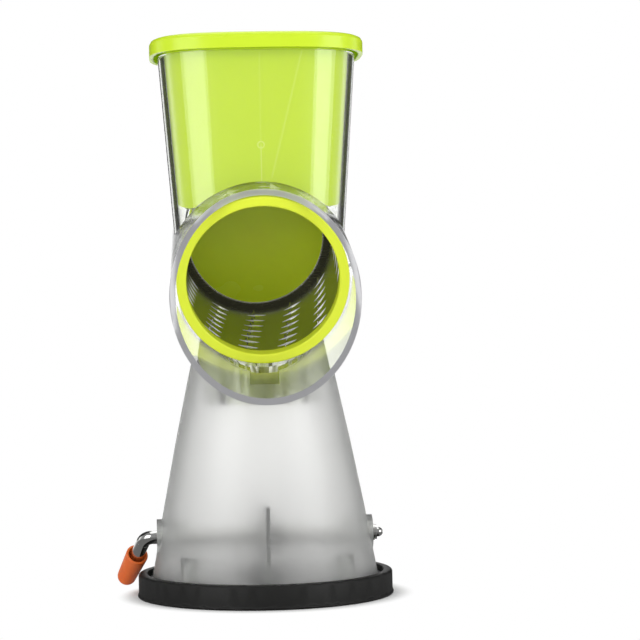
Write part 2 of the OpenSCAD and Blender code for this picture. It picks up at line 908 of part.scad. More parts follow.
module crank_knob() {
    neck = knob_r * knob_neck_share;
    tip = knob_r * knob_round_share;
    recess = 3 * knob_pin_head_t / 2 + pass_gap;
    bore = knob_pin_r + run_gap;
    color("#b4d02c")
    at_drum()
        translate([0, -crank_r, -knob_z1])
            rotate_extrude()
                polygon(concat(
                    [[bore, recess], [knob_pin_head_r + pass_gap, recess],
                     [knob_pin_head_r + pass_gap, 0]],
                    arc(knob_r - tip, tip, tip, -90, 0, 5),
                    [for (i = [1:9])
                        let (s = i / 10)
                        [knob_r - (knob_r - neck) * (1 - cos(180 * s)) / 2,
                         tip + (knob_len - 2 * tip) * s]],
                    arc(neck - tip / 2, knob_len - tip / 2, tip / 2, 0, 90, 3),
                    [[bore, knob_len]]));
}

suction_pad();
pressure_plate();
plate_screws();
base_column();
pad_stud();
shaft_cam();
cam_pin();
lever_shaft();
lever_grip();
shaft_washer();
shaft_clip();
housing();
rear_bush();
pusher();
drum_ring();
drum_sleeve();
drum_back_plate();
crank_shaft();
crank_washer();
crank_arm();
crank_screw();
crank_knob();
knob_pin();
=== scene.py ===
# %% [markdown]
# # A rotary cabbage shredder, dressed for its portrait
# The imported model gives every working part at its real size. Here the parts get their finish:
# clear and frosted mouldings, lime green plastic, pressed steel, plated rod, black rubber.
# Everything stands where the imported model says. Blender counts in metres, and sizes that
# belong to the model are written in millimetres and multiplied by MM.

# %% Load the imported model
import bpy
import json
import math
from mathutils import Matrix, Vector

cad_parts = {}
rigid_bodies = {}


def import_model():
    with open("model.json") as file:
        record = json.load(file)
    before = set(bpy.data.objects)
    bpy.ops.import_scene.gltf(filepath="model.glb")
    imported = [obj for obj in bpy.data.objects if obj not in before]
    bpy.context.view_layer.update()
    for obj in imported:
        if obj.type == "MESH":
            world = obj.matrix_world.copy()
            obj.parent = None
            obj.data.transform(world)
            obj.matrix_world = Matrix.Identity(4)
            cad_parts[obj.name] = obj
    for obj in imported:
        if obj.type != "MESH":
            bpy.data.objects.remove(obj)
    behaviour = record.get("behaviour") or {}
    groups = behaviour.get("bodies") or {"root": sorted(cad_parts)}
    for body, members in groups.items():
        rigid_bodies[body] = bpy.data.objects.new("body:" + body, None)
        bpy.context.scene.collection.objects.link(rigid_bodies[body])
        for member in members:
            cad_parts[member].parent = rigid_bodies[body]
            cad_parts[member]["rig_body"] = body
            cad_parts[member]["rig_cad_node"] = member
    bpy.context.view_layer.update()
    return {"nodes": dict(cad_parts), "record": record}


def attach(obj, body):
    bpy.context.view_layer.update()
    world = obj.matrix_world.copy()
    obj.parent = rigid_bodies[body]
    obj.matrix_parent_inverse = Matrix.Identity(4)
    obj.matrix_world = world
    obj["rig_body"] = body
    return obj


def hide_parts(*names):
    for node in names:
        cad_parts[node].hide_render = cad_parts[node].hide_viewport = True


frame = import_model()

nodes = frame["nodes"]
MM = 0.001

# %% [markdown]
# ## Colours and nodes
# A colour picked from a photograph is an sRGB value, but a shader wants linear light. One
# function turns the usual hex code into linear numbers, and one more adds a shader node,
# sets it and links it, so that each material below reads like a recipe.


# %% Colour from a hex code
def colour(code):
    parts = [int(code[i:i + 2], 16) / 255 for i in (1, 3, 5)]
    linear = [p / 12.92 if p <= 0.04045 else ((p + 0.055) / 1.055) ** 2.4 for p in parts]
    return (*linear, 1.0)


print("mid grey is", round(colour("#808080")[0], 3), "in linear light")


# %% One helper that adds a node
def add(tree, kind, settings=None, inputs=None):
    node = tree.nodes.new(kind)
    for name, value in (settings or {}).items():
        setattr(node, name, value)
    for name, value in (inputs or {}).items():
        if isinstance(value, bpy.types.NodeSocket):
            tree.links.new(value, node.inputs[name])
        else:
            node.inputs[name].default_value = value
    return node


def new_material(name):
    material = bpy.data.materials.new(name)
    material.use_nodes = True
    tree = material.node_tree
    tree.nodes.clear()
    return material, tree


def finish_with(tree, shader, volume=None):
    output = add(tree, "ShaderNodeOutputMaterial", inputs={"Surface": shader.outputs[0]})
    if volume:
        tree.links.new(volume.outputs[0], output.inputs["Volume"])


print("node helper ready")

# %% [markdown]
# ## How a moulded face looks
# A moulded face is never quite flat: it carries the fine texture of the mould and a slow
# waviness from shrinking. A picture could be wrapped round each piece, but it would have to
# be unfolded and would repeat. So both are noise in the piece's own coordinates, at real
# sizes, and they stay on the piece when it moves. A noise of scale 1000 / s has lumps of
# about s mm. The same lumps give the polish, from smooth to rough, and the bump.


# %% Lumps, polish and bump from a real grain size
def grain(tree, size_mm, height_mm, smooth, rough, detail=2.0, stretch=(1, 1, 1)):
    where = add(tree, "ShaderNodeTexCoord")
    mapping = add(tree, "ShaderNodeMapping", inputs={"Vector": where.outputs["Object"], "Scale": stretch})
    lumps = add(tree, "ShaderNodeTexNoise", inputs={
        "Vector": mapping.outputs[0], "Scale": 1 / (size_mm * MM), "Detail": detail})
    polish = add(tree, "ShaderNodeMapRange", inputs={
        "Value": lumps.outputs[0], "To Min": smooth, "To Max": rough})
    bump = add(tree, "ShaderNodeBump", inputs={
        "Height": lumps.outputs[0], "Distance": height_mm * MM, "Strength": 1.0})
    return lumps.outputs[0], polish.outputs[0], bump.outputs[0]


print("grain of 0.8 mm has scale", 1 / (0.8 * MM))

# %% [markdown]
# ## Lime green polypropylene
# Pusher, drum ring, back plate and crank are polypropylene, moulded with a gloss. It is
# bright and a little waxy: light enters the skin and glows, so a trace of subsurface is
# given. A plain glossy colour would look like paint. The ring is a shade yellower than the
# pusher. The back plate stands in the drum's shade, so its mix is painted light: brighter
# than the plastic, to offset that shade.


# %% Green plastic with slow waves
def green_plastic(name, code, deep_code, marks=None):
    material, tree = new_material(name)
    wave, polish, bump = grain(tree, size_mm=30, height_mm=0.05, smooth=0.22, rough=0.3)
    tint = add(tree, "ShaderNodeMix", {"data_type": "RGBA"}, {
        "Factor": wave, "A": colour(code), "B": colour(deep_code)})
    if marks:
        tint = add(tree, "ShaderNodeMix", {"data_type": "RGBA"}, {
            "Factor": marks(tree), "A": tint.outputs["Result"], "B": colour("#effa9c")})
    shader = add(tree, "ShaderNodeBsdfPrincipled", inputs={
        "Base Color": tint.outputs["Result"], "IOR": 1.49,
        "Subsurface Weight": 0.15, "Subsurface Radius": (0.004, 0.005, 0.001),
        "Subsurface Scale": 0.5, "Coat Weight": 0.1, "Coat Roughness": 0.1,
        "Roughness": polish, "Normal": bump})
    finish_with(tree, shader)
    return material


LIME = green_plastic("lime polypropylene", "#cee03a", "#c8da32")
YELLOW_LIME = green_plastic("yellower lime polypropylene", "#e2f03c", "#dcea36")
# The back plate's mix is painted light: brighter than the plastic, to offset the drum's shade.
DISC_LIME_PAINTED_LIGHT = green_plastic("lime polypropylene of the back plate", "#e8fe24", "#e0f61e")
print(LIME.name, "and", YELLOW_LIME.name)

# %% [markdown]
# ## Weld lines on the pusher's front
# Where two streams of plastic met in the mould a pale hair line stays, and the gate through
# which the plastic came leaves a small ring. They have no depth to speak of, so cutting them
# into the mesh would be wrong. They are drawn in the colour, where the piece's own
# coordinates lie on them: an upright line, a leaning one and the ring.

# %% Places of the marks, in millimetres
gate_x, gate_z, gate_r, gate_half = 0.5, 225, 1.6, 0.5
line_half, line_top, front_y = 0.45, 271, -20
leaning_x, leaning_z, lean, leaning_half = 5.6, 208.7, 0.253, 0.8
strong_below, faint_above, gate_strength, leaning_strength = 0.5, 0.16, 0.6, 0.2
print("gate ring at", gate_x, gate_z)


# %% A mark, strongest on its middle line
def hair(tree, distance, half_width, strength):
    away = add(tree, "ShaderNodeMath", {"operation": "ABSOLUTE"}, {0: distance})
    band = add(tree, "ShaderNodeMapRange", {"interpolation_type": "SMOOTHSTEP"}, {
        "Value": away.outputs[0], "From Max": half_width * MM, "To Min": strength, "To Max": 0.0})
    return band.outputs[0]


print("a hair line is", 2 * line_half, "mm wide")


# %% The upright line and the gate's ring
def upright_line(tree, gate):
    strength = add(tree, "ShaderNodeMapRange", {"interpolation_type": "STEPPED"}, {
        "Value": gate.outputs["Z"], "From Min": -MM, "From Max": MM,
        "To Min": strong_below, "To Max": faint_above, "Steps": 1.0})
    return hair(tree, gate.outputs["X"], line_half, strength.outputs[0])


def gate_ring(tree, gate):
    flat = add(tree, "ShaderNodeCombineXYZ", inputs={0: gate.outputs["X"], 1: gate.outputs["Z"]})
    reach = add(tree, "ShaderNodeVectorMath", {"operation": "LENGTH"}, {0: flat.outputs[0]})
    off_ring = add(tree, "ShaderNodeMath", {"operation": "SUBTRACT"}, {
        0: reach.outputs["Value"], 1: gate_r * MM})
    return hair(tree, off_ring.outputs[0], gate_half, gate_strength)


print("gate ring is", 2 * gate_r, "mm across")


# %% The leaning line, above its foot
def leaning_line(tree, where):
    from_foot = add(tree, "ShaderNodeVectorMath", {"operation": "SUBTRACT"}, {
        0: where, 1: (leaning_x * MM, 0, leaning_z * MM)})
    off_line = add(tree, "ShaderNodeVectorMath", {"operation": "DOT_PRODUCT"}, {
        0: from_foot.outputs[0], 1: (1, 0, -lean)})
    foot = add(tree, "ShaderNodeSeparateXYZ", inputs={0: from_foot.outputs[0]})
    above = add(tree, "ShaderNodeMath", {"operation": "GREATER_THAN"}, {0: foot.outputs["Z"], 1: 0.0})
    leaning = hair(tree, off_line.outputs["Value"], leaning_half, leaning_strength)
    kept = add(tree, "ShaderNodeMath", {"operation": "MULTIPLY"}, {0: leaning, 1: above.outputs[0]})
    return kept.outputs[0]


print("leaning line starts at", leaning_x, leaning_z)


# %% All the marks, on the pusher's front alone
def weld_marks(tree):
    where = add(tree, "ShaderNodeTexCoord").outputs["Object"]
    from_gate = add(tree, "ShaderNodeVectorMath", {"operation": "SUBTRACT"}, {
        0: where, 1: (gate_x * MM, 0, gate_z * MM)})
    gate = add(tree, "ShaderNodeSeparateXYZ", inputs={0: from_gate.outputs[0]})
    marks = upright_line(tree, gate)
    for mark in (leaning_line(tree, where), gate_ring(tree, gate)):
        marks = add(tree, "ShaderNodeMath", {"operation": "MAXIMUM"}, {0: marks, 1: mark}).outputs[0]
    axes = add(tree, "ShaderNodeSeparateXYZ", inputs={0: where})
    for axis, limit in (("Z", line_top), ("Y", front_y)):
        inside = add(tree, "ShaderNodeMath", {"operation": "LESS_THAN"}, {
            0: axes.outputs[axis], 1: limit * MM})
        kept = add(tree, "ShaderNodeMath", {"operation": "MULTIPLY"}, {0: marks, 1: inside.outputs[0]})
        marks = kept.outputs[0]
    return marks


PUSHER_LIME = green_plastic("lime polypropylene with weld lines", "#ceea2c", "#c8e424", weld_marks)
print(PUSHER_LIME.name)

# %% [markdown]
# ## Clear and frosted mouldings
# Light bends as it enters clear plastic, and a path tracer can hardly find its way back to a
# lamp through it. So shadow rays and soft bounced light pass straight through, with the
# small loss of two polished faces, and what stands inside is lit as it is in real life.


# %% Let lamps shine through a see-through shader
def lit_through(tree, shader, pass_code):
    path = add(tree, "ShaderNodeLightPath")
    lamp_ray = add(tree, "ShaderNodeMath", {"operation": "MAXIMUM"}, {
        0: path.outputs["Is Shadow Ray"], 1: path.outputs["Is Diffuse Ray"]})
    passing = add(tree, "ShaderNodeBsdfTransparent", inputs={"Color": colour(pass_code)})
    return add(tree, "ShaderNodeMixShader", inputs={
        0: lamp_ray.outputs[0], 1: shader.outputs[0], 2: passing.outputs[0]})


print("lamp rays pass")

# %% [markdown]
# ## Clear styrene acrylonitrile
# Hopper and barrel are one clear moulding, polished in the mould. It is water clear from the
# front and grey in its edges, where light runs through more of it. A tinted surface would be
# equally grey everywhere. So the surface is nearly white and the grey is in the volume.


# %% Clear plastic with a grey depth
def clear_plastic():
    material, tree = new_material("clear styrene acrylonitrile")
    wave, polish, bump = grain(tree, size_mm=24, height_mm=0.01, smooth=0.0, rough=0.02)
    shader = add(tree, "ShaderNodeBsdfPrincipled", inputs={
        "Base Color": colour("#fcfdfb"), "IOR": 1.5, "Transmission Weight": 1.0,
        "Roughness": polish, "Normal": bump})
    depth = add(tree, "ShaderNodeVolumeAbsorption", inputs={
        "Color": colour("#c4c7c8"), "Density": 10.0})
    finish_with(tree, lit_through(tree, shader, "#fbfbfa"), depth)
    return material


CLEAR = clear_plastic()
print(CLEAR.name)

# %% [markdown]
# ## Satin faces of the clear moulding
# The slanted lip is left as the mould's parting face gives it, a fine satin that turns grey.
# The key tab under the barrel is satin too, and its darker olive grey is a painted reflection
# of the green drum parts seen in its facets. Each could be geometry with thousands of pits. A
# rough skin that lets part of the light through does it.


# %% Satin plastic
def satin_plastic(name, code, clear):
    material, tree = new_material(name)
    frost, polish, bump = grain(tree, size_mm=0.8, height_mm=0.01, smooth=0.25, rough=0.36)
    shader = add(tree, "ShaderNodeBsdfPrincipled", inputs={
        "Base Color": colour(code), "IOR": 1.5, "Transmission Weight": clear,
        "Roughness": polish, "Normal": bump})
    finish_with(tree, lit_through(tree, shader, "#e4e5e4"))
    return material


SATIN = satin_plastic("satin styrene acrylonitrile", "#e2e2e6", clear=0.66)
# The key tab's darker olive grey is a painted reflection of the green drum parts.
KEY_PAINTED_REFLECTION = satin_plastic("satin styrene acrylonitrile, painted reflection", "#9a9c80", clear=0.6)
print(SATIN.name, "and", KEY_PAINTED_REFLECTION.name)

# %% [markdown]
# ## Frosted styrene
# The column comes from a sand-blasted mould. Only the outside of the mould is blasted. The
# rough skin scatters what passes through it, so parts inside show as soft shadows, and the
# inner face of the wall stays nearly polished. One rough material on both faces would hide
# the cam and the stud, so each face has its own.


# %% Frosted plastic
def frosted_plastic(name, white, smooth, rough):
    material, tree = new_material(name)
    frost, polish, bump = grain(tree, size_mm=0.6, height_mm=0.02 * rough, smooth=smooth, rough=rough)
    shader = add(tree, "ShaderNodeBsdfPrincipled", inputs={
        "Base Color": colour("#fbfbfa"), "IOR": 1.5, "Transmission Weight": 1 - white,
        "Roughness": polish, "Normal": bump})
    finish_with(tree, lit_through(tree, shader, "#d6d8d6"))
    return material


FROSTED = frosted_plastic("frosted styrene", white=0.08, smooth=0.44, rough=0.56)
FROSTED_INSIDE = frosted_plastic("frosted styrene, inner face", white=0.0, smooth=0.08, rough=0.18)
print(FROSTED.name, "and", FROSTED_INSIDE.name)

# %% [markdown]
# ## Black rubber and black nylon
# The foot is soot-filled rubber, nearly black and dull, with a soft broad sheen on its edges.
# The plate, the stud and the cam inside it are nylon, a shade lighter and smoother. The two
# differ only in shade, grain and shine, so each is a plain recipe.


# %% Black rubber, moulded
def black_rubber():
    material, tree = new_material("black moulded rubber")
    skin, polish, bump = grain(tree, size_mm=0.8, height_mm=0.03, smooth=0.45, rough=0.62)
    shader = add(tree, "ShaderNodeBsdfPrincipled", inputs={
        "Base Color": colour("#161615"), "IOR": 1.5, "Specular IOR Level": 0.35,
        "Roughness": polish, "Normal": bump})
    finish_with(tree, shader)
    return material


RUBBER = black_rubber()
print(RUBBER.name)


# %% Black nylon, moulded
def black_nylon():
    material, tree = new_material("black moulded nylon")
    skin, polish, bump = grain(tree, size_mm=1.2, height_mm=0.02, smooth=0.35, rough=0.5)
    shader = add(tree, "ShaderNodeBsdfPrincipled", inputs={
        "Base Color": colour("#2c2c2e"), "IOR": 1.53, "Roughness": polish, "Normal": bump})
    finish_with(tree, shader)
    return material


NYLON = black_nylon()
print(NYLON.name)

# %% [markdown]
# ## White acetal and orange vinyl
# The crank's bush and washer are acetal, a white bearing plastic with an even satin. The
# lever's grip is a soft vinyl sleeve, dip-moulded: slightly uneven, and its colour deepens
# where it is thicker. So its lumps steer the colour as well as the bump.


# %% White acetal, turned or moulded
def white_acetal():
    material, tree = new_material("white acetal")
    skin, polish, bump = grain(tree, size_mm=2, height_mm=0.01, smooth=0.3, rough=0.4)
    shader = add(tree, "ShaderNodeBsdfPrincipled", inputs={
        "Base Color": colour("#ecece4"), "IOR": 1.48, "Roughness": polish, "Normal": bump})
    finish_with(tree, shader)
    return material


ACETAL = white_acetal()
print(ACETAL.name)


# %% Orange vinyl sleeve, dip-moulded
def orange_vinyl():
    material, tree = new_material("orange dip-moulded vinyl")
    lumps, polish, bump = grain(tree, size_mm=5, height_mm=0.15, smooth=0.35, rough=0.5)
    tint = add(tree, "ShaderNodeMix", {"data_type": "RGBA"}, {
        "Factor": lumps, "A": colour("#e2601c"), "B": colour("#f07a34")})
    shader = add(tree, "ShaderNodeBsdfPrincipled", inputs={
        "Base Color": tint.outputs["Result"], "IOR": 1.53,
        "Subsurface Weight": 0.1, "Subsurface Radius": (0.003, 0.001, 0.0005),
        "Subsurface Scale": 0.5, "Roughness": polish, "Normal": bump})
    finish_with(tree, shader)
    return material


VINYL = orange_vinyl()
print(VINYL.name)

# %% [markdown]
# ## The drum's axis
# What follows is measured from the drum's own axis, which starts in the middle of the drum's
# mouth and leans forward and down. One matrix takes a point of the model, in millimetres,
# into the drum's frame: there the mouth is at height zero and the drum hangs below it.

# %% The drum's frame, in millimetres
mouth_front, mouth_z, drum_tilt = 40, 157.6, math.radians(17.8)
drum_place = (Matrix.Translation((0, -mouth_front, mouth_z))
              @ Matrix.Rotation(math.radians(90) + drum_tilt, 4, "X"))
to_drum = drum_place.inverted()
drum_axis = drum_place.to_3x3() @ Vector((0, 0, 1))
print("drum axis points at", drum_axis.to_tuple(3))

# %% [markdown]
# ## Stainless sheet
# Rolling leaves fine lines along the strip. On the real drum they are almost too fine to see,
# so they are made a little coarser here, or the picture would not show them. The presses
# have worked the sheet, and the steel is stretched thin in the teeth. The fold at the back gets
# painted shade, its inner rim a painted highlight, and the teeth a painted highlight as well.
# So one recipe makes three sheets, and the rim's painted highlight is told from the fold by
# its distance from the drum's axis.


# %% Rolled sheet
def steel_sheet(name, code, smooth, rough, metal=1.0, rim=None):
    material, tree = new_material(name)
    lines, polish, bump = grain(tree, size_mm=1.0, height_mm=0.004, smooth=smooth, rough=rough,
                                detail=4, stretch=(0.1, 1, 1))
    shade = colour(code)
    # Where a rim mask is given, it gets a painted highlight: a bright colour mixed in.
    if rim:
        bright = add(tree, "ShaderNodeMix", {"data_type": "RGBA"}, {
            "Factor": rim(tree), "A": shade, "B": colour("#f4f4ec")})
        shade = bright.outputs["Result"]
    shader = add(tree, "ShaderNodeBsdfPrincipled", inputs={
        "Base Color": shade, "Metallic": metal, "Roughness": polish, "Normal": bump})
    finish_with(tree, shader)
    return material


STEEL = steel_sheet("pressed stainless sheet", "#acaca4", smooth=0.16, rough=0.3)
print(STEEL.name)

# %% Sheet with painted shade on the fold
# Nearer the drum's axis than this radius, in millimetres, the fold gets a painted highlight.
rim_r = 36


def painted_rim_highlight(tree):
    where = add(tree, "ShaderNodeTexCoord")
    off = add(tree, "ShaderNodeVectorMath", {"operation": "SUBTRACT"}, {
        0: where.outputs["Object"], 1: drum_place.translation * MM})
    across = add(tree, "ShaderNodeVectorMath", {"operation": "CROSS_PRODUCT"}, {
        0: off.outputs[0], 1: drum_axis})
    reach = add(tree, "ShaderNodeVectorMath", {"operation": "LENGTH"}, {0: across.outputs[0]})
    return add(tree, "ShaderNodeMath", {"operation": "LESS_THAN"}, {
        0: reach.outputs["Value"], 1: rim_r * MM}).outputs[0]


# The fold's darker olive steel is painted shade, and the bright band on its inner rim is a painted
# highlight.
FOLD_PAINTED_SHADE = steel_sheet("stainless sheet, fold in painted shade", "#6c6c58", 0.2, 0.32, rim=painted_rim_highlight)
# The teeth's white, less metallic steel is a painted highlight.
TEETH_PAINTED_HIGHLIGHT = steel_sheet("stainless sheet, painted highlight in the teeth", "#ffffff", 0.36, 0.5, metal=0.45)
print(FOLD_PAINTED_SHADE.name, "and", TEETH_PAINTED_HIGHLIGHT.name)

# %% [markdown]
# ## Nickel-plated steel
# The lever's rod, the crank's shaft, the pins, clip and screws are plated. A perfect mirror
# would look like glass beside the drum, so the plating has a little haze from handling.


# %% Bright plating
def plated_steel():
    material, tree = new_material("bright nickel-plated steel")
    wear, polish, bump = grain(tree, size_mm=3, height_mm=0.01, smooth=0.05, rough=0.16)
    shader = add(tree, "ShaderNodeBsdfPrincipled", inputs={
        "Base Color": colour("#d2d2d0"), "Metallic": 1.0, "Roughness": polish, "Normal": bump})
    finish_with(tree, shader)
    return material


PLATED = plated_steel()
print(PLATED.name)

# %% [markdown]
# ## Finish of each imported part
# The record already says which finish each part has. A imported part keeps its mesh, and only
# its material slot changes.

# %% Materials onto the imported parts
FINISHES = {
    "black_rubber": RUBBER, "black_nylon": NYLON, "frosted_column": FROSTED,
    "clear_plastic": CLEAR, "green_plastic": LIME, "orange_sleeve": VINYL,
    "steel_sheet": STEEL, "plated_steel": PLATED, "white_acetal": ACETAL,
}
slot_of = {row["node"]: row["material_slot"] for row in frame["record"]["subparts"]}


def put_on(piece, material):
    if not piece.material_slots:
        piece.data.materials.append(material)
    for place in piece.material_slots:
        place.material = material


for name, node in nodes.items():
    put_on(node, FINISHES[slot_of[name]])
put_on(nodes["drum_ring"], YELLOW_LIME)
put_on(nodes["drum_back_plate"], DISC_LIME_PAINTED_LIGHT)
put_on(nodes["pusher"], PUSHER_LIME)
print("finished:", ", ".join(sorted(nodes)))

# %% [markdown]
# ## Smooth skins for the big mouldings
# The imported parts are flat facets. Clear plastic bends light by the slope of its skin, so a
# facet shows as a wedge of wrong light. More facets would be heavier and still be facets.
# So each big moulding gets a welded copy, and where its corners lie on a known form, such as
# the barrel's round or the hopper's oval, the slope is taken from that form. A form is a
# function of a point, in millimetres, that is zero on the surface.


# %% Two kinds of form
def round_form(radius, draft=0.0, length=1.0):
    def form(p):
        q = to_drum @ p
        return math.hypot(q.x, q.y) - radius - draft * min(q.z, 0) / length
    return form


def oval_form(a, b, power, front=0.0):
    def form(p):
        return (abs(p.x) / a(p.z)) ** power + (abs(p.y + front) / b(p.z)) ** power - 1
    return form


at_rim = round_form(46)(drum_place @ Vector((46, 0, -1)))
print("a round of 46 mm gives", round(at_rim, 6), "at 46 mm from the axis")


# %% The slope of a form, by small steps
def slope(form, p, step=0.01):
    grown = Vector([form(p + axis) - form(p - axis)
                    for axis in (Vector((step, 0, 0)), Vector((0, step, 0)), Vector((0, 0, step)))])
    grown /= 2 * step
    return form(p) / grown.length, grown.normalized()


def true_slopes(piece, forms, near, facing=0.9):
    mesh = piece.data
    corners = [Vector(corner.vector) for corner in mesh.corner_normals]
    found = [{} for form in forms]
    on_form = [[] for form in forms]
    for face in mesh.polygons:
        for form, seen, faces in zip(forms, found, on_form):
            slopes = []
            for v in face.vertices:
                if v not in seen:
                    seen[v] = slope(form, mesh.vertices[v].co / MM)
                slopes.append(seen[v])
            if all(abs(away) < near and abs(way.dot(face.normal)) > facing for away, way in slopes):
                for loop, (away, way) in zip(face.loop_indices, slopes):
                    corners[loop] = way if way.dot(face.normal) > 0 else -way
                faces.append(face.index)
                break
    mesh.normals_split_custom_set(corners)
    return on_form


print("slope helper ready")


# %% A welded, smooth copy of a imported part
# The copy rides on the same body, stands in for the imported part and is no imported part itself,
# so the two marks that the loader left on it are taken off.
def skin_of(name, forms=(), near=0.35, angle=32, weld_gap=0.01, shape=None):
    bpy.ops.object.select_all(action="DESELECT")
    source = nodes[name]
    source.select_set(True)
    bpy.context.view_layer.objects.active = source
    bpy.ops.object.duplicate()
    piece = bpy.context.active_object
    piece.parent = None
    piece.name = name + "_skin"
    bpy.ops.object.mode_set(mode="EDIT")
    bpy.ops.mesh.select_all(action="SELECT")
    bpy.ops.mesh.remove_doubles(threshold=weld_gap * MM)
    bpy.ops.object.mode_set(mode="OBJECT")
    if shape:
        shape(piece)
        piece.select_set(True)
    bpy.ops.object.shade_smooth_by_angle(angle=math.radians(angle))
    on_form = true_slopes(piece, forms, near)
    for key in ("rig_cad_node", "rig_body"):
        if key in piece:
            del piece[key]
    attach(piece, source["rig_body"])
    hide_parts(name)
    print(piece.name, len(piece.data.polygons), "faces,", [len(f) for f in on_form], "on forms")
    return piece, on_form


# %% Another material on some faces
def paint(piece, faces, material):
    piece.data.materials.append(material)
    for face in faces:
        piece.data.polygons[face].material_index = len(piece.data.materials) - 1
    print(piece.name, "has", len(faces), "faces of", material.name)


# %% [markdown]
# ## Housing
# The barrel is round and a little narrower at its back, as a moulding has to be to leave its
# mould. The hopper over it is a squarish oval that widens to its top. Inner and outer faces
# each follow a form of their own, and the slanted lip is a plane.

# %% Forms of the hopper
hopper_front, hopper_power, hopper_wall = 4, 3, 3
hopper_top, hopper_low = Vector((49.8, 34, 271.7)), Vector((43.1, 32, 183))


def hopper_form(inset):
    def half(axis):
        return lambda z: (hopper_top[axis] - inset + (hopper_low[axis] - hopper_top[axis])
                          * (hopper_top.z - z) / (hopper_top.z - hopper_low.z))
    return oval_form(half(0), half(1), hopper_power, hopper_front)


print("half the hopper's width:", round(hopper_top.x, 1), "mm above,", round(hopper_low.x, 1), "below")

# %% Forms of the barrel and its lip
barrel_r, barrel_wall, barrel_draft, back_wall = 46, 2.8, 1.4, 3
drum_len, disc_t, socket_len, collar_t, pass_gap = 83, 2.5, 4.5, 1.5, 0.3
barrel_back = drum_len + disc_t + socket_len + collar_t + 2 * pass_gap
lip_side, lip_slant = 24.5, math.radians(30)


def lip_form(p):
    q = to_drum @ p
    return q.y * math.sin(lip_slant) + (q.z - lip_side) * math.cos(lip_slant)


print("barrel is", round(barrel_back, 1), "mm deep inside")

# %% The housing's skin
housing, housing_faces = skin_of("housing", [
    round_form(barrel_r, barrel_draft, barrel_back + back_wall),
    round_form(barrel_r - barrel_wall, barrel_draft, barrel_back),
    hopper_form(0), hopper_form(hopper_wall), lip_form])
paint(housing, housing_faces[4], SATIN)

# %% The key tab, with a painted reflection of the green drum
key_front, key_half, key_top = 26, 7.3, 118


def in_key(face):
    places = [housing.data.vertices[v].co for v in face.vertices]
    return all(abs(p.x) < key_half * MM and p.z < key_top * MM and p.y < -key_front * MM
               for p in places)


on_forms = set(sum(housing_faces, []))
# The key tab's faces get the painted reflection.
paint(housing, [f.index for f in housing.data.polygons if f.index not in on_forms and in_key(f)], KEY_PAINTED_REFLECTION)

# %% [markdown]
# ## Pusher
# The pusher's cup ends above the drum with rounded corners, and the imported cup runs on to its
# seat. It could be modelled anew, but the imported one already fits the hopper. So its skin is
# cut by a block with rounded lower edges, whose sides lean clear of the cup.

# %% The cup's rounded lower corners
cup_low, cup_round, cup_steps = 195, 7, 6
block_half, block_deep, block_high, block_flare = 40.7, 120, 95, 1.52


def round_block():
    bpy.ops.object.select_all(action="DESELECT")
    bpy.ops.mesh.primitive_cube_add(size=MM, location=(0, 0, 0))
    block = bpy.context.active_object
    bpy.ops.object.mode_set(mode="EDIT")
    bpy.ops.mesh.select_all(action="SELECT")
    bpy.ops.transform.resize(value=(2 * block_half, block_deep, block_high))
    bpy.ops.transform.translate(value=(0, 0, (cup_low + block_high / 2) * MM))
    for upper in (True, False):
        bpy.ops.mesh.select_all(action="DESELECT")
        bpy.ops.object.mode_set(mode="OBJECT")
        for vertex in block.data.vertices:
            vertex.select = (vertex.co.z > (cup_low + block_high / 2) * MM) == upper
        bpy.ops.object.mode_set(mode="EDIT")
        if upper:
            bpy.ops.transform.resize(value=(block_flare, 1, 1))
        else:
            bpy.ops.mesh.bevel(offset=cup_round * MM, segments=cup_steps, affect="EDGES")
    bpy.ops.object.mode_set(mode="OBJECT")
    bpy.ops.object.select_all(action="DESELECT")
    return block


print("block is", 2 * block_half, "mm wide below")


# %% Cut the cup with the block
def round_cup(piece):
    block = round_block()
    piece.select_set(True)
    bpy.context.view_layer.objects.active = piece
    bpy.ops.object.modifier_add(type="BOOLEAN")
    cut = piece.modifiers[-1]
    cut.operation, cut.solver, cut.object = "INTERSECT", "EXACT", block
    bpy.ops.object.modifier_apply(modifier=cut.name)
    piece.select_set(False)
    block.select_set(True)
    bpy.ops.object.delete()
    bpy.context.view_layer.objects.active = piece
    print("cup cut at", cup_low, "mm,", len(piece.data.polygons), "faces")


# %% The pusher's skin
pusher_gap, pusher_wall, flange_over, flange_wall = 0.3, 2.2, 4.1, 2.2


def flange_form(inset):
    return oval_form(lambda z: hopper_top.x + flange_over - inset,
                     lambda z: hopper_top.y + flange_over - inset, hopper_power, hopper_front)


skin_of("pusher", [
    hopper_form(hopper_wall + pusher_gap), hopper_form(hopper_wall + pusher_gap + pusher_wall),
    flange_form(0), flange_form(flange_wall)], shape=round_cup)

# %% [markdown]
# ## Column
# The column is a wide oval at its foot and round at its top, and its sides stand out a little
# from a straight line. The inner face of its wall gets the smoother of the two frosted skins.

# %% The column's skin
column_foot, column_top_r, column_z0, column_round_z = (57.4, 45.5), 34.1, 9, 125
column_belly, column_wall, column_power = 0.85, 2.5, 2


def column_form(inset):
    def half(foot):
        def at(z):
            share = (z - column_z0) / (column_round_z - column_z0)
            bulge = 4 * column_belly * share * (1 - share)
            return foot + (column_top_r - foot) * share + bulge - inset
        return at
    return oval_form(half(column_foot[0]), half(column_foot[1]), column_power)


column, column_faces = skin_of("base_column", [column_form(0), column_form(column_wall)])
paint(column, column_faces[1], FROSTED_INSIDE)

# %% [markdown]
# ## Drum sleeve
# The sleeve is sheet steel, pressed and folded. Its plain faces keep the rolled finish. The
# fold at its back gets painted shade, a darker olive steel, and what isn't on a plain form
# between the first tooth and the last, or on the fold's inner edge, gets a painted highlight:
# white steel that is less metallic.

# %% The sleeve's skin, with its fold
sleeve_r, sheet_t, fold_w = 39.5, 0.5, 4.1


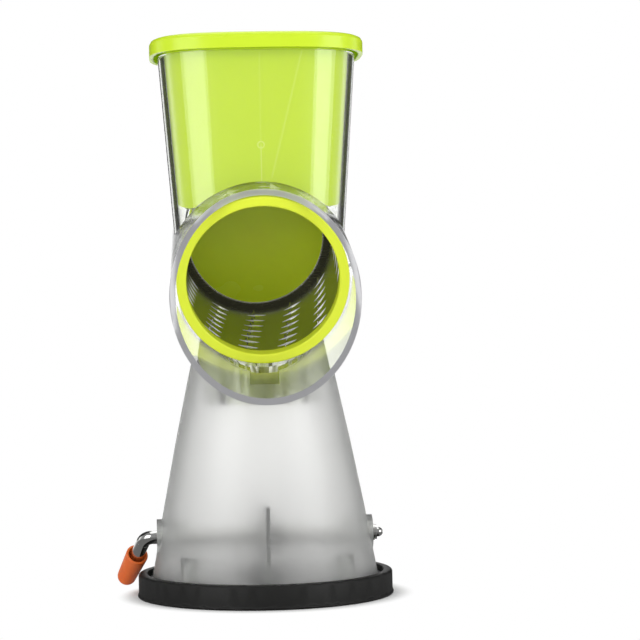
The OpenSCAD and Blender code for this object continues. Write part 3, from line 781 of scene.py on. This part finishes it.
def fold_form(p):
    return (to_drum @ p).z + drum_len - sheet_t


sleeve, sleeve_faces = skin_of("drum_sleeve", [
    round_form(sleeve_r), round_form(sleeve_r - sheet_t), fold_form])
# The fold's faces get painted shade, and its inner rim a painted highlight.
paint(sleeve, sleeve_faces[2], FOLD_PAINTED_SHADE)

# %% Painted highlight on the teeth and rim
ring_lip, ring_skirt, tooth_pitch, teeth_in_row = 6.5, 3.5, 9.2, 7
teeth_from = ring_lip + ring_skirt + pass_gap
teeth_to = teeth_from + teeth_in_row * tooth_pitch
plain = set(sum(sleeve_faces, []))
highlight_faces = []
for face in sleeve.data.polygons:
    q = to_drum @ (face.center / MM)
    in_teeth = teeth_from < -q.z < teeth_to
    on_rim = -q.z > teeth_to and math.hypot(q.x, q.y) < sleeve_r - fold_w + sheet_t
    if face.index not in plain and (in_teeth or on_rim):
        highlight_faces.append(face.index)
# The teeth and the fold's inner edge get the painted highlight.
paint(sleeve, highlight_faces, TEETH_PAINTED_HIGHLIGHT)

# %% [markdown]
# ## Foot
# The rubber has no form to follow. Its rounds are fine enough to be smoothed by their angle.

# %% The foot's skin
skin_of("suction_pad")

# %% [markdown]
# ## Studio
# A pale sheet lies under the tool and runs far behind it. Near the foot it takes the shadow,
# and further out it fades to the white of the background. A plain white sheet would shine up
# into every shiny part. So what is mirrored of it is dark in front and white behind.

# %% Sheet of paper
sheet_side, shadow_from, shadow_to = 8, 0.0655, 0.076
mirrored_front, mirrored_rear, rear_at = 0.2, 1.0, 0.5
bpy.ops.object.select_all(action="DESELECT")
bpy.ops.mesh.primitive_plane_add(size=sheet_side, location=(0, 0, 0))
floor = bpy.context.active_object
floor.name = "floor"
print("floor fades to white from", shadow_from, "m")

# %% The paper's colour, and what is seen of it
paper, tree = new_material("white paper")
where = add(tree, "ShaderNodeTexCoord")
reach = add(tree, "ShaderNodeVectorMath", {"operation": "LENGTH"}, {0: where.outputs["Object"]})
fade = add(tree, "ShaderNodeMapRange", {"interpolation_type": "SMOOTHSTEP"}, {
    "Value": reach.outputs["Value"], "From Min": shadow_from, "From Max": shadow_to})
diffuse = add(tree, "ShaderNodeBsdfDiffuse", inputs={"Color": colour("#f4f4f4")})
glow = add(tree, "ShaderNodeEmission", inputs={"Color": colour("#ffffff"), "Strength": 1.0})
path = add(tree, "ShaderNodeLightPath")
seen = add(tree, "ShaderNodeMath", {"operation": "MAXIMUM"}, {
    0: path.outputs["Is Camera Ray"], 1: path.outputs["Is Transmission Ray"]})
amount = add(tree, "ShaderNodeMath", {"operation": "MULTIPLY"}, {
    0: seen.outputs[0], 1: fade.outputs[0]})
mixed = add(tree, "ShaderNodeMixShader", inputs={
    0: amount.outputs[0], 1: diffuse.outputs[0], 2: glow.outputs[0]})
place = add(tree, "ShaderNodeSeparateXYZ", inputs={0: where.outputs["Object"]})
rearward = add(tree, "ShaderNodeMapRange", {"interpolation_type": "SMOOTHSTEP"}, {
    "Value": place.outputs["Y"], "From Min": 0.0, "From Max": rear_at,
    "To Min": mirrored_front, "To Max": mirrored_rear})
mirrored = add(tree, "ShaderNodeEmission", inputs={
    "Color": colour("#ffffff"), "Strength": rearward.outputs[0]})
sheet = add(tree, "ShaderNodeMixShader", inputs={
    0: path.outputs["Is Glossy Ray"], 1: mixed.outputs[0], 2: mirrored.outputs[0]})
finish_with(tree, sheet)
put_on(floor, paper)
print(paper.name, "is on the floor")

# %% [markdown]
# ## World
# Clear plastic is drawn by what it mirrors and bends. Behind the tool hangs lit white paper,
# and the room on the camera's side is dark. So the clear walls stay clean from the front, and
# their edges, which bend the view to the side, turn grey and black. Rays that mirror and rays
# that bend see rooms of different darkness, and diffuse light comes from all round alike.

# %% World: white paper behind, a dark room in front
ambient, mirrored_room, bent_room, paper_level = 0.6, 0.35, 0.8, 1.28
paper_from, paper_to = -0.2, 0.4
world = bpy.data.worlds.new("studio")
bpy.context.scene.world = world
world.use_nodes = True
tree = world.node_tree
tree.nodes.clear()
where = add(tree, "ShaderNodeTexCoord")
split = add(tree, "ShaderNodeSeparateXYZ", inputs={0: where.outputs["Generated"]})
backward = add(tree, "ShaderNodeMapRange", {"interpolation_type": "SMOOTHSTEP"}, {
    "Value": split.outputs["Y"], "From Min": paper_from, "From Max": paper_to, "To Max": paper_level})
path = add(tree, "ShaderNodeLightPath")
room = add(tree, "ShaderNodeMix", {"data_type": "FLOAT"}, {
    "Factor": path.outputs["Is Transmission Ray"], "A": mirrored_room, "B": bent_room})
studio = add(tree, "ShaderNodeMath", {"operation": "MAXIMUM"}, {
    0: backward.outputs[0], 1: room.outputs["Result"]})
print("paper level", paper_level, "room level", mirrored_room)

# %% [markdown]
# ## Flags
# A photographer hangs a black flag at each side, behind the tool, to draw the dark double
# lines along the clear walls. A flag is a band of directions to the side here. Rays that
# bend see it from further out than rays that mirror, and each band has soft edges.

# %% Black flags at both sides, behind the tool
bent_flag, mirrored_flag, flag_end = (0.36, 0.46), (0.06, 0.2), (0.8, 0.92)
flag_back, flag_level = 0.2, 0.05
sideways = add(tree, "ShaderNodeMath", {"operation": "ABSOLUTE"}, {0: split.outputs["X"]})
behind = add(tree, "ShaderNodeMapRange", {"interpolation_type": "SMOOTHSTEP"}, {
    "Value": split.outputs["Y"], "From Max": flag_back})
flag_far = add(tree, "ShaderNodeMapRange", {"interpolation_type": "SMOOTHSTEP"}, {
    "Value": sideways.outputs[0], "From Min": flag_end[0], "From Max": flag_end[1],
    "To Min": 1.0, "To Max": 0.0})
flags = []
for ray, start in (("Is Transmission Ray", bent_flag), ("Is Reflection Ray", mirrored_flag)):
    flag_near = add(tree, "ShaderNodeMapRange", {"interpolation_type": "SMOOTHSTEP"}, {
        "Value": sideways.outputs[0], "From Min": start[0], "From Max": start[1]})
    flags.append(add(tree, "ShaderNodeMath", {"operation": "MULTIPLY"}, {
        0: flag_near.outputs[0], 1: path.outputs[ray]}))
flag = add(tree, "ShaderNodeMath", {"operation": "MAXIMUM"}, {
    0: flags[0].outputs[0], 1: flags[1].outputs[0]})
for limit in (behind, flag_far):
    flag = add(tree, "ShaderNodeMath", {"operation": "MULTIPLY"}, {
        0: flag.outputs[0], 1: limit.outputs[0]})
print("flag level", flag_level)

# %% Which rays see which world
flagged = add(tree, "ShaderNodeMix", {"data_type": "FLOAT"}, {
    "Factor": flag.outputs[0], "A": studio.outputs[0], "B": flag_level})
sharp = add(tree, "ShaderNodeMath", {"operation": "MAXIMUM"}, {
    0: path.outputs["Is Glossy Ray"], 1: path.outputs["Is Transmission Ray"]})
base = add(tree, "ShaderNodeMix", {"data_type": "FLOAT"}, {
    "Factor": sharp.outputs[0], "A": ambient, "B": flagged.outputs["Result"]})
strength = add(tree, "ShaderNodeMix", {"data_type": "FLOAT"}, {
    "Factor": path.outputs["Is Camera Ray"], "A": base.outputs["Result"], "B": 1.0})
sky = add(tree, "ShaderNodeBackground", inputs={
    "Color": (1, 1, 1, 1), "Strength": strength.outputs["Result"]})
add(tree, "ShaderNodeOutputWorld", inputs={"Surface": sky.outputs[0]})
print("ambient level", ambient)

# %% [markdown]
# ## Lamps
# The light is soft: a tall box at each side, which gives the clear hopper its bright bands,
# one above, and a weak fill in front that reaches into the drum. A lamp of P watts and area A
# shines at P / (pi A). So a level of 1 is as bright as white paper, and the power follows from
# the level and the size. The fill would show as a white square in the clear walls, so it is
# hidden from mirroring and bending rays.


# %% Soft boxes
def soft_box(name, place, aim, width, height, level):
    bpy.ops.object.light_add(type="AREA", location=place)
    lamp = bpy.context.active_object
    lamp.name = name
    lamp.data.shape = "RECTANGLE"
    lamp.data.size = width
    lamp.data.size_y = height
    lamp.data.energy = level * math.pi * width * height
    lamp.rotation_euler = (Vector(aim) - Vector(place)).to_track_quat("-Z", "Y").to_euler()
    return lamp


middle = (0, 0, 0.15)
soft_box("left_box", (-0.72, -0.75, 0.32), middle, width=0.7, height=0.9, level=2.1)
soft_box("right_box", (0.82, -0.65, 0.32), middle, width=0.6, height=0.9, level=2.5)
soft_box("top_box", (0, 0.1, 1.1), middle, width=0.8, height=0.8, level=1.2)
fill = soft_box("front_fill", (-0.12, -1.15, 0.08), middle, width=0.6, height=0.5, level=1.4)
fill.visible_glossy = False
fill.visible_transmission = False
print("four soft boxes")

# %% [markdown]
# ## Camera
# The tool was photographed from about a metre away with a long lens, a little from its left,
# and it stands left of the middle of the frame. The camera could be turned to bring it there,
# but a turned camera slants the sides. So it looks level and straight at the tool's middle,
# and the frame is shifted, as in a view camera. The small roll is that of the photograph.

# %% Camera at the photograph's place
photo_px, focal_px, horizon_px, axis_px = 640, 1964, 340, 260.8
camera_far, camera_high, far_end = 1.0, 0.129, 20
camera_azimuth, camera_roll = math.radians(-2.5), math.radians(-1.15)
bpy.ops.object.camera_add()
camera = bpy.context.active_object
camera.location = (camera_far * math.sin(camera_azimuth),
                   -camera_far * math.cos(camera_azimuth), camera_high)
camera.rotation_euler = (Matrix.Rotation(-camera_azimuth, 3, "Z").inverted()
                         @ Matrix.Rotation(math.radians(90), 3, "X")
                         @ Matrix.Rotation(camera_roll, 3, "Z")).to_euler()
camera.data.sensor_width = 36
camera.data.lens = focal_px / photo_px * camera.data.sensor_width
camera.data.shift_x = (photo_px / 2 - axis_px) / photo_px
camera.data.shift_y = (horizon_px - photo_px / 2) / photo_px
camera.data.clip_end = far_end
bpy.context.scene.camera = camera
bpy.context.scene.view_settings.view_transform = "Standard"
print("lens", round(camera.data.lens, 1), "mm")
